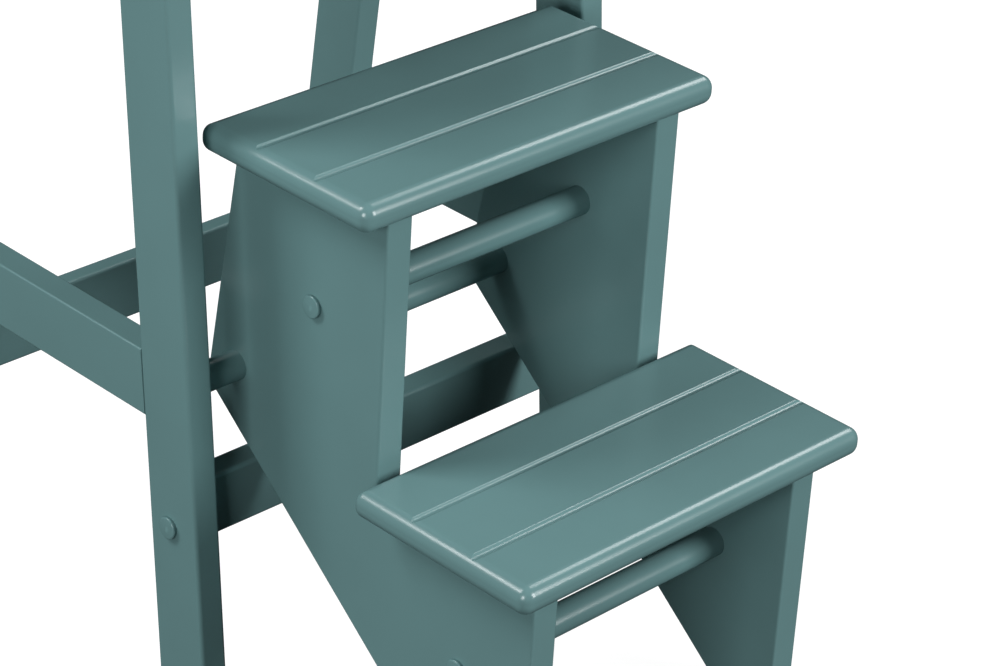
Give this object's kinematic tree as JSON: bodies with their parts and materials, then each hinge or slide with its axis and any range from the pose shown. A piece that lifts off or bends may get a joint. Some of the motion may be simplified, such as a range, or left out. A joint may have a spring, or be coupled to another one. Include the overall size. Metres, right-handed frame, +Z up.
{
  "type": "folding step stool",
  "caption": "Painted wooden counter stool whose grooved step unit flips out from under the seat on a dowel pivot held between splayed legs.",
  "frame": {"origin": "on the floor, at the middle of the unfolded footprint's bounding box", "axes": "+Z up to the seat, the steps face -Y, +X across the stool to the user's right when facing the steps"},
  "size_m": [0.434, 0.6418, 0.672],
  "materials": {
    "painted_wood": "satin opaque paint, grey teal",
    "cap_plastic": "moulded, grey teal to match the paint",
    "screw_steel": "zinc plated",
    "bare_beech": "bare turned beech",
    "glide_nylon": "moulded nylon, dark grey"
  },
  "bodies": {
    "stool_frame": {"front_leg_left": "painted_wood", "front_leg_right": "painted_wood", "rear_leg_left": "painted_wood", "rear_leg_right": "painted_wood", "side_rail_left": "painted_wood", "side_rail_right": "painted_wood", "side_apron_left": "painted_wood", "side_apron_right": "painted_wood", "front_rail": "painted_wood", "back_rail": "painted_wood", "back_apron": "painted_wood", "seat": "painted_wood", "seat_screws": "screw_steel", "seat_dowel_pins": "bare_beech", "frame_screws": "screw_steel", "frame_screw_caps": "cap_plastic", "rail_dowel_pins": "bare_beech", "apron_dowel_pins": "bare_beech", "leg_glides": "glide_nylon"},
    "step_unit": {"stringer_left": "painted_wood", "stringer_right": "painted_wood", "upper_tread": "painted_wood", "lower_tread": "painted_wood", "upper_crossbar": "painted_wood", "lower_crossbar": "painted_wood", "pivot_dowel": "painted_wood", "crossbar_screws": "screw_steel", "step_screw_caps": "cap_plastic", "tread_dowel_pins": "bare_beech", "pivot_lock_screws": "screw_steel", "step_glides": "glide_nylon"}
  },
  "joints": [
    {"name": "step_fold", "type": "hinge", "parent": "stool_frame", "child": "step_unit", "pos_m": [0, 0.00407, 0.2514], "axis": [-1, 0, 0], "range_deg": [0, 163]}
  ]
}
